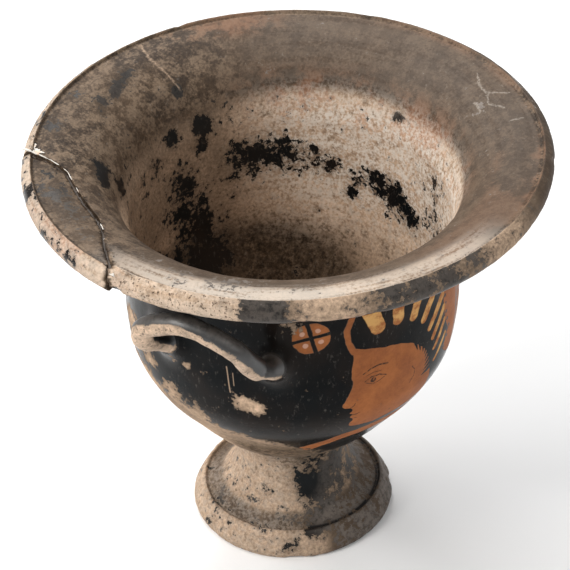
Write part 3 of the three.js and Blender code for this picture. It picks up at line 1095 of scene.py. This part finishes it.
class Pottery(Nodes):
    """Worn black glaze and brown film on tan clay, put on layer by layer."""

    def __init__(self, name):
        super().__init__(name)
        self.x, self.y, self.z = self.parts(self.place)
        radius = self.vector("LENGTH", self.join(self.x, self.y, 0))
        self.angle = self.math("ARCTAN2", self.x, self.y * -1)
        # The film field also holds painted shade and painted sheen, the pale field painted light, the dirt
        # field painted shade.
        self.glaze_field, self.film_field, self.lime_and_light_field = self.parts(self.attribute("cover"))
        self.red_field, self.dirt_field, self.pore_field = self.parts(self.attribute("tint"))
        self.lumps = self.noise(0.13, 6, 0.68)
        self.patches = self.noise(0.032, 3, 0.5, shift=(71, 13, 5))
        self.grain = self.noise(0.75, 4, 0.6)
        self.powder = self.noise(2.6, 2, 0.5)
        self.streaks = self.noise(0.28, 4, 0.6, place=self.join(self.angle * 9, radius, self.z))
        self.crumbs = self.noise(0.36, 5, 0.70, shift=(3, 61, 17))
        # The glaze flakes off along ragged edges and leaves a brown stain beside them.
        left = self.glaze_field + (self.lumps * 1.7 + self.crumbs * 1.6 - 1.65)
        self.cover = self.step(left, 0.48, 0.58)
        self.stain = self.step(left, 0.10, 0.52)
        self.glaze = self.cover

    def drawn(self, drawing):
        """The drawing's parts at each point, a little wavy as a brush is. Side B repeats side A."""
        side_b = self.math("GREATER_THAN", self.math("ABSOLUTE", self.angle), math.pi / 2)
        own_angle = self.angle - side_b * (self.math("SIGN", self.angle) * math.pi)
        across = own_angle * PICTURE_RADIUS + (self.noise(0.22, 2) * 1.3 - 0.65)
        up = self.z + (self.noise(0.22, 2, shift=(40, 9, 3)) * 1.1 - 0.55)
        return drawing(self, self.join(across, up, 0))

    def add_clay(self):
        """Tan to brown clay, pink where it burnt so, dirty in hollows and darkened by painted shade in the
        bowl, stained beside the glaze.
        """
        clay = self.mix(self.step(self.lumps, 0.26, 0.66), CLAY_BROWN, CLAY_TAN)
        clay = self.mix(self.step(self.streaks, 0.62, 0.38) * 0.22, clay, CLAY_BROWN)
        self.redness = self.red_field * self.step(self.patches + self.lumps, 0.85, 1.12)
        clay = self.mix(self.redness, clay, CLAY_PINK)
        pits = self.noise(0.8, 3, 0.62, shift=(19, 4, 52))
        self.pores = self.step(pits + self.pore_field * 0.17, 0.77, 0.82)
        dirt = self.dirt_field * self.step(self.lumps + self.grain * 0.4, 0.42, 0.95)
        self.dirt = self.limited(self.dirt_field, 0.45, dirt)
        # Dirt, and painted shade on the bowl's floor and left wall.
        clay = self.mix(self.dirt * 0.95, clay, DIRT_AND_SHADE)
        self.surface = self.mix(self.stain * 0.7, clay, STAIN)

    def add_film(self):
        """A thin brown-grey film, what is left of a poorly fired glaze; on the bowl's left wall partly
        painted shade.
        """
        self.film = self.step(self.film_field + (self.patches * 0.5 + self.lumps * 0.45), 0.81, 1.25)
        mottle = self.patches * 0.55 + (self.streaks * 0.2 + self.grain * 0.25)
        unrest = self.limited(self.dirt_field, 1.6, 0.42)
        brown_share = (self.step(mottle, 0.41, 0.57) - 0.5) * unrest + 0.5
        colour = self.mix(brown_share, FILM_GREY, FILM_BROWN)
        rubbed = self.step(self.lumps + self.grain * 0.3, 0.57, 0.80)
        colour = self.mix(rubbed * self.limited(self.dirt_field, 1.6, 0.12), colour, CLAY_BROWN)
        colour = self.mix(self.stain * 0.5, colour, STAIN)
        colour = self.mix(self.redness * 0.75, colour, CLAY_RED)
        # Dirt and painted shade over the film too.
        colour = self.mix(self.dirt * 0.6, colour, DIRT_AND_SHADE)
        self.surface = self.mix(self.film * 0.95, self.surface, colour)
        self.rough = self.film * -0.22 + 0.82

    def add_tone(self):
        """Fine and coarse changes of tone all over, less so on the smooth film."""
        tone = self.crumbs + self.lumps * 0.7 + self.grain * 0.9 - 1.3
        strength = self.dirt_field * 2.4 - self.film + 1.35
        share = self.math("MAXIMUM", tone * strength + 1, 0.35)
        self.surface = self.vector("SCALE", self.surface, scale=share)

    def add_lime_and_light(self):
        """Pale lime left by water, in streaks round the rim and in crumbs elsewhere, painted light on the
        bowl's right wall, and open pores.
        """
        on_flare = self.step(self.z, 184, 198)
        speckle = self.crumbs * (on_flare * -0.42 + 0.6) + self.streaks * (on_flare * 0.52 + 0.15)
        lime_and_light = self.step(speckle + self.grain * 0.35, 0.47, 0.63) * self.lime_and_light_field
        specks = self.step(self.noise(0.35, 5, 0.7, shift=(5, 33, 8)), 0.60, 0.70)
        lime_and_light = self.math("MAXIMUM", lime_and_light, specks * (self.lime_and_light_field * 0.35 + 0.10))
        self.surface = self.mix(lime_and_light, self.surface, DEPOSIT_AND_LIGHT)
        self.surface = self.mix(self.pores * 0.85, self.surface, PORE)

    def reserve(self, bare):
        """Red clay that the painter left free of glaze, where bare is 1."""
        red = self.mix(self.step(self.noise(0.07, 5, 0.65), 0.35, 0.65), TERRACOTTA_DEEP, TERRACOTTA)
        red = self.vector("SCALE", red, scale=(self.grain + self.crumbs) * 0.45 + 0.57)
        intact = self.glaze * bare
        self.surface = self.mix(intact, self.surface, red)
        self.rough = intact * -0.34 + self.rough
        self.glaze = self.glaze * (1 - bare)

    def add_glaze(self):
        """The glaze: blue-black, browner where thin, dull under the film, pale grey as painted sheen on the
        handles' tops and the lip's front, lightly scuffed.
        """
        colour = self.mix(self.step(self.patches, 0.40, 0.72), GLAZE_BLACK, GLAZE_BROWN)
        # Dull grey where the film field lies: worn glaze, and painted sheen on the handles' tops and the
        # lip's front.
        dull_and_sheen = self.limited(self.dirt_field, -2.2, self.film_field)
        colour = self.mix(dull_and_sheen * self.step(self.crumbs, 0.25, 0.6), colour, GLAZE_DULL_AND_SHEEN)
        upright = self.vector("MULTIPLY", self.place, (1, 1, 0.45))
        scuff = self.step(self.noise(0.5, 5, 0.75, place=upright), 0.56, 0.76)
        colour = self.mix(scuff * 0.12, colour, DEPOSIT_AND_LIGHT)
        self.surface = self.mix(self.glaze, self.surface, colour)
        rough = self.lumps * 0.16 + (scuff * 0.3 + 0.09) + self.pore_field * 0.20
        rough = self.math("MAXIMUM", self.film_field, self.dirt_field) * 0.25 + rough
        self.rough = self.rough + self.glaze * (rough - self.rough)

    def paint(self, ochre, lines, pink):
        """The colours added over the glaze. Each may be missing."""
        if ochre:
            ochre = ochre * self.step(self.grain + self.glaze_field, 1.0, 1.2)
            colour = self.mix(self.step(self.lumps, 0.4, 0.62), OCHRE, TERRACOTTA)
            self.surface = self.mix(ochre, self.surface, colour)
            self.rough = ochre * 0.35 + self.rough
        if lines:
            self.surface = self.mix(lines * self.step(self.grain, 0.30, 0.55), self.surface, THIN_LINE)
        if pink:
            self.surface = self.mix(pink * 0.85, self.surface, ROSETTE_PINK)

    def scratch_wall(self):
        place = self.join(self.angle * PICTURE_RADIUS, self.z, 0)
        hair = self.least(self.stroke(place, start, end, half) for start, end, half in HAIRLINES)
        self.surface = self.mix(self.step(hair, 0.16, -0.1) * 0.55, self.surface, CLAY_TAN)

    def crack_rim(self):
        """The rim's old crack and its veins, bent by the noises."""
        plan = self.join(self.crumbs * 3 + self.x - 1.5, self.lumps * 9 + self.y - 4.5, 0)
        high = self.math("GREATER_THAN", self.z, CRACKS_ABOVE)
        crack = self.least(self.stroke(plan, start, end, half) for start, end, half in CRACK)
        crack = self.step(crack, 0.7, -0.5) * (high * self.step(self.grain, 0.25, 0.6))
        self.surface = self.mix(crack * 0.42, self.surface, CLAY_TAN)
        veins = self.least(self.stroke(plan, start, end, VEIN_HALF) for start, end in VEINS)
        veins = self.step(veins, 0.6, -0.1) * (high * self.step(self.grain, 0.2, 0.6))
        self.surface = self.mix(veins * 0.24, self.surface, DEPOSIT_AND_LIGHT)

    def relief(self):
        """Heights in mm: the glaze is a thin skin, the clay is grainy and pitted."""
        bare = 1 - self.cover
        grainy = self.grain * 0.30 + self.powder * 0.10
        return grainy * (bare * 0.75 + 0.06) + self.cover * 0.10 - self.pores * bare * 0.55


def pottery(name, shine, drawing=None, wall=False):
    """One material of the vessel. drawing adds its part of the picture, wall the scratches in the
    body's glaze, and without either the rim's old crack is drawn."""
    n = Pottery(name)
    bare, *added = n.drawn(drawing) if drawing else (None,)
    n.add_clay()
    n.add_film()
    n.add_tone()
    n.add_lime_and_light()
    if drawing:
        n.reserve(bare)
    n.add_glaze()
    if drawing:
        n.paint(*added)
    elif wall:
        n.scratch_wall()
    else:
        n.crack_rim()
    return n.finish(n.surface, n.rough, n.relief(), 0.8, shine)


def plaster_material():
    n = Nodes("old_plaster")
    grain = n.noise(0.9, 4, 0.6)
    colour = n.mix(n.step(n.noise(0.3, 3, 0.6), 0.50, 0.72), PLASTER, CLAY_TAN)
    return n.finish(colour, 0.85, grain * 0.4, 0.7)


def plain_material(name, colour, roughness):
    material = bpy.data.materials.new(name)
    material.use_nodes = True
    shader = material.node_tree.nodes["Principled BSDF"]
    shader.inputs["Base Color"].default_value = (*colour, 1)
    shader.inputs["Roughness"].default_value = roughness
    return material


# ---------------------------------------------------------------- plaster and glue in the fracture
BEAD_SIDES = 8
FILL_STEP = 0.8
# Beads of plaster along the fracture: from and to, as shares of its length, and half width in mm.
PLASTER_BEADS = [(0.02, 0.11, 0.7), (0.09, 0.20, 0.36), (0.22, 0.30, 0.24), (0.34, 0.38, 0.2),
                 (0.60, 0.66, 0.3)]
# Smears of plaster: azimuth, radius, height, length, width, turn in degrees.
PLASTER_SMEARS = [(-158.4, 115.2, 205.55, 6, 2.6, 10), (-156.2, 113.4, 205.25, 6, 3, 60),
                  (-104.6, 119.0, 202.4, 5.5, 3.2, 80)]
SMEAR_THICKNESS = 0.16
SMEAR_RINGS = 6
SMEAR_SIDES = 30
# A fine filled crack in the sherd: azimuth, radius.
SHERD_CRACK = [(-119.5, 98.6), (-118.4, 100.2), (-117.4, 102.0)]
SHERD_CRACK_HALF = 0.15
# The glue in the gap: how far it lies under the surface and its half width, in mm.
GLUE_DEPTH = 2.6
GLUE_HALF = 1.4
# From here outward the surface turns down over the lip.
RIM_TOP_EDGE = 117


def on_rim(line, depth):
    """The points of a line in plan, set a depth under the rim's upper surface."""
    return [(x, y, float(curve_at(RIM_TOP, math.hypot(x, y))) - depth) for x, y in line]


def bead(points, half):
    """An uneven tube through the points, as (points, faces)."""
    points = np.array(points)
    last = len(points) - 1
    ring_points = []
    for k, (centre, way) in enumerate(zip(points, np.gradient(points, axis=0))):
        way = way / np.linalg.norm(way)
        across = np.cross(way, (0, 0, 1))
        across /= np.linalg.norm(across)
        up = np.cross(across, way)
        taper = min(1, 0.25 + 0.6 * k, 0.25 + 0.6 * (last - k))
        for i in range(BEAD_SIDES):
            turn = 2 * math.pi * i / BEAD_SIDES
            away = half * taper * (1 + 0.8 * noise.noise(Vector(centre) * 0.8 + Vector((i * 0.7, 0, 0))))
            ring_points.append(centre + away * (math.cos(turn) * across + 0.6 * math.sin(turn) * up))
    return ring_points, tube_faces(len(points), BEAD_SIDES)


def smear(azimuth, r, z, long, wide, turn):
    """A thin lens of plaster with a ragged edge, lying on the surface, as (points, faces)."""
    centre = Vector(spot(azimuth, r, z))
    out = Vector((*plan_point(azimuth, 1), 0))
    normal = Vector((0, 0, 1)) if r < RIM_TOP_EDGE else out
    along = Vector((-out[1], out[0], 0))
    spin = Matrix.Rotation(turn * DEGREE, 3, normal)
    along, aside = spin @ along * long / 2, spin @ normal.cross(along) * wide / 2
    points, faces = [], []
    for side in (1, -1):
        for k in range(SMEAR_RINGS):
            share = (k + 1) / SMEAR_RINGS
            thick = SMEAR_THICKNESS * math.sqrt(1 - share ** 2)
            for i in range(SMEAR_SIDES):
                angle = 2 * math.pi * i / SMEAR_SIDES
                where = Vector((math.cos(angle) * 2.6 + azimuth, math.sin(angle) * 2.6, r))
                reach = share * (1 + 0.6 * noise.fractal(where, 0.7, 2.2, 3))
                flat = along * (reach * math.cos(angle)) + aside * (reach * math.sin(angle))
                points.append(np.array(centre + flat + normal * (side * thick)))
    for first in (0, SMEAR_RINGS * SMEAR_SIDES):
        faces += ring_faces(SMEAR_RINGS, SMEAR_SIDES, first)
        faces.append(tuple(range(first, first + SMEAR_SIDES)))
    return points, faces


def strips_object(name, strips):
    """One mesh object from several closed strips, each (points, faces)."""
    points, faces = [], []
    for part_points, part_faces in strips:
        faces += [tuple(i + len(points) for i in face) for face in part_faces]
        points += list(part_points)
    piece = mesh_object(name, points, faces)
    mend_normals(piece, 0.01)
    return piece


def plaster_piece():
    line = fracture_line(FILL_STEP)
    strips = []
    for start, end, half in PLASTER_BEADS:
        stretch = line[int(start * len(line)):int(end * len(line))]
        strips.append(bead(on_rim(stretch, 0.4 * half), half))
    crack = smooth_run([plan_point(a, r) for a, r in SHERD_CRACK], FILL_STEP)
    strips.append(bead(on_rim(crack, SHERD_DROP), SHERD_CRACK_HALF))
    strips += [smear(*measures) for measures in PLASTER_SMEARS]
    return strips_object("plaster_fill", strips)


def glue_piece():
    """A bead deep in the gap, halfway between the vessel and the sherd."""
    aside = plan_point(SHERD_ANGLE, SHERD_OUT / 2)
    line = [(x + aside[0], y + aside[1]) for x, y in fracture_line(FILL_STEP)
            if math.hypot(x, y) < RIM_TOP_EDGE]
    return strips_object("old_glue", [bead(on_rim(line, GLUE_DEPTH), GLUE_HALF)])


# ---------------------------------------------------------------- the vessel and the sherd
# The faces that take the wall's material or the picture lie between these heights.
WALL_FROM = 64
WALL_TO = 180
# Faces whose points are at least this surely on a handle take the handles' material.
HANDLE_SHARE = 0.15


def whole_vessel():
    vessel = turned("painted_vessel", vessel_profile(), COLUMNS)
    mend_normals(vessel)
    for side in (1, -1):
        combine(vessel, handle_bar("bar", side), "UNION")
    return vessel


def copy_of(piece, name):
    return linked(name, piece.data.copy())


def finish_shape(piece, shift=(0, 0, 0)):
    """Wears the piece, writes its surface fields and sets it where it belongs."""
    places = Places(points_of(piece))
    fields = surface_fields(places)
    write_fields(piece, fields)
    smooth_roots(piece, places)
    points = worn_shape(piece, places, fields[5])
    # The foot was set askew: its share of the offset fades out up the body.
    points[:, :2] += np.array(FOOT_OFFSET) * (1 - rise(places.z, OFFSET_FROM, OFFSET_TO))[:, None]
    points[:, 2] = np.maximum(points[:, 2], 0)
    move_points(piece, points + shift)
    return places


def dress(piece, places, materials):
    """Gives each face its material: the worn one, the wall's, a part of the picture or the handles'."""
    piece.data.materials.clear()
    for material in materials:
        piece.data.materials.append(material)
    on_wall = places.body & (places.z > WALL_FROM) & (places.z < WALL_TO)
    on_handle = places.handle > HANDLE_SHARE
    own_azimuth = places.azimuth - 180 * np.sign(places.azimuth) * (np.abs(places.azimuth) > 90)
    across = own_azimuth * DEGREE * PICTURE_RADIUS
    indices = []
    for face in piece.data.polygons:
        corners = list(face.vertices)
        index = int(on_wall[corners].all())
        if index:
            middle, height = float(np.median(across[corners])), float(places.z[corners].mean())
            for i, (_, (left, right), (low, high), _) in enumerate(DRAWINGS):
                if left < middle < right and low < height < high:
                    index = 2 + i
                    break
        elif on_handle[corners].all():
            index = len(materials) - 1
        indices.append(index)
    piece.data.polygons.foreach_set("material_index", indices)


vessel = whole_vessel()
sherd = copy_of(vessel, "glued_rim_piece")
combine(vessel, fracture_block("block", -FRACTURE_GAP / 2), "DIFFERENCE")
combine(sherd, fracture_block("block", FRACTURE_GAP / 2), "INTERSECT")

materials = [pottery("worn_black_glaze", SHINE_WORN), pottery("black_wall", SHINE_WALL, wall=True)]
materials += [pottery(name, SHINE_WALL, drawing) for name, _, _, drawing in DRAWINGS]
materials.append(pottery("black_handles", SHINE_HANDLE))
dress(vessel, finish_shape(vessel), materials)
dress(sherd, finish_shape(sherd, (*plan_point(SHERD_ANGLE, SHERD_OUT), -SHERD_DROP)), materials)
plaster = plaster_piece()
plaster.data.materials.append(plaster_material())
glue = glue_piece()
glue.data.materials.append(plain_material("old_glue", GLUE, 0.6))

for piece in (vessel, sherd, plaster, glue):
    piece.data.shade_smooth()
    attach(piece, "root")
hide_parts("krater")
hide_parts("rim_sherd")

# ---------------------------------------------------------------- floor, light and camera, in metres
FLOOR_REACH = 6
# The camera's place, round the vessel's axis, and how far it is moved aside and rolled.
CAMERA_AZIMUTH = -64.3
CAMERA_ELEVATION = 36.9
CAMERA_DISTANCE = 1.3977
CAMERA_AIM_HEIGHT = 0.12775
CAMERA_ASIDE = -0.00337
CAMERA_ROLL = 1.87
CAMERA_LENS = 189.47
CAMERA_SENSOR = 36
# Soft round lights: turn from the camera's azimuth, elevation, distance, size, power, colour.
LIGHT_AIM_HEIGHT = 0.12
LIGHTS = {
    "key": (-66, 42, 1.7, 0.8, 17, (1, 0.985, 0.96)),
    "side": (-118, 48, 1.5, 0.5, 6, (1, 1, 1)),
    "back": (192, 50, 1.5, 0.5, 12, (1, 1, 1)),
    "fill": (40, 40, 2.2, 1.6, 5, (0.97, 0.985, 1)),
}
WORLD_STRENGTH = 0.52


def add_floor():
    mesh = bpy.data.meshes.new("floor")
    corners = [(-FLOOR_REACH, -FLOOR_REACH, 0), (FLOOR_REACH, -FLOOR_REACH, 0),
               (FLOOR_REACH, FLOOR_REACH, 0), (-FLOOR_REACH, FLOOR_REACH, 0)]
    mesh.from_pydata(corners, [], [(0, 1, 2, 3)])
    floor = linked("floor", mesh)
    mesh.materials.append(plain_material("pale_floor", FLOOR_WHITE, 0.9))


def on_sphere(azimuth, elevation, distance, height):
    """A place seen from a point of the axis at that azimuth, elevation and distance."""
    flat = distance * math.cos(elevation * DEGREE)
    return Vector((*plan_point(azimuth, flat), height + distance * math.sin(elevation * DEGREE)))


def aim(thing, place, height, roll=0, aside=0):
    """Sets a camera or light at a place, facing the axis at a height, then rolls it and moves it aside."""
    facing = (Vector((0, 0, height)) - place).to_track_quat("-Z", "Y").to_matrix()
    turn = facing @ Matrix.Rotation(-roll * DEGREE, 3, "Z")
    thing.matrix_world = Matrix.Translation(place + facing.col[0] * aside) @ turn.to_4x4()


def add_camera():
    data = bpy.data.cameras.new("camera")
    data.lens = CAMERA_LENS
    data.sensor_width = CAMERA_SENSOR
    camera = linked("camera", data)
    place = on_sphere(CAMERA_AZIMUTH, CAMERA_ELEVATION, CAMERA_DISTANCE, CAMERA_AIM_HEIGHT)
    aim(camera, place, CAMERA_AIM_HEIGHT, CAMERA_ROLL, CAMERA_ASIDE)
    bpy.context.scene.camera = camera


def add_light(name, turn, elevation, distance, size, power, colour):
    data = bpy.data.lights.new(name, "AREA")
    data.shape = "DISK"
    data.size = size
    data.energy = power
    data.color = colour
    place = on_sphere(CAMERA_AZIMUTH + turn, elevation, distance, LIGHT_AIM_HEIGHT)
    aim(linked(name, data), place, LIGHT_AIM_HEIGHT)


def add_world():
    world = bpy.data.worlds.new("studio")
    world.use_nodes = True
    background = world.node_tree.nodes["Background"]
    background.inputs["Color"].default_value = (1, 1, 1, 1)
    background.inputs["Strength"].default_value = WORLD_STRENGTH
    bpy.context.scene.world = world


add_floor()
add_camera()
for name, measures in LIGHTS.items():
    add_light(name, *measures)
add_world()
bpy.context.scene.view_settings.view_transform = "Standard"
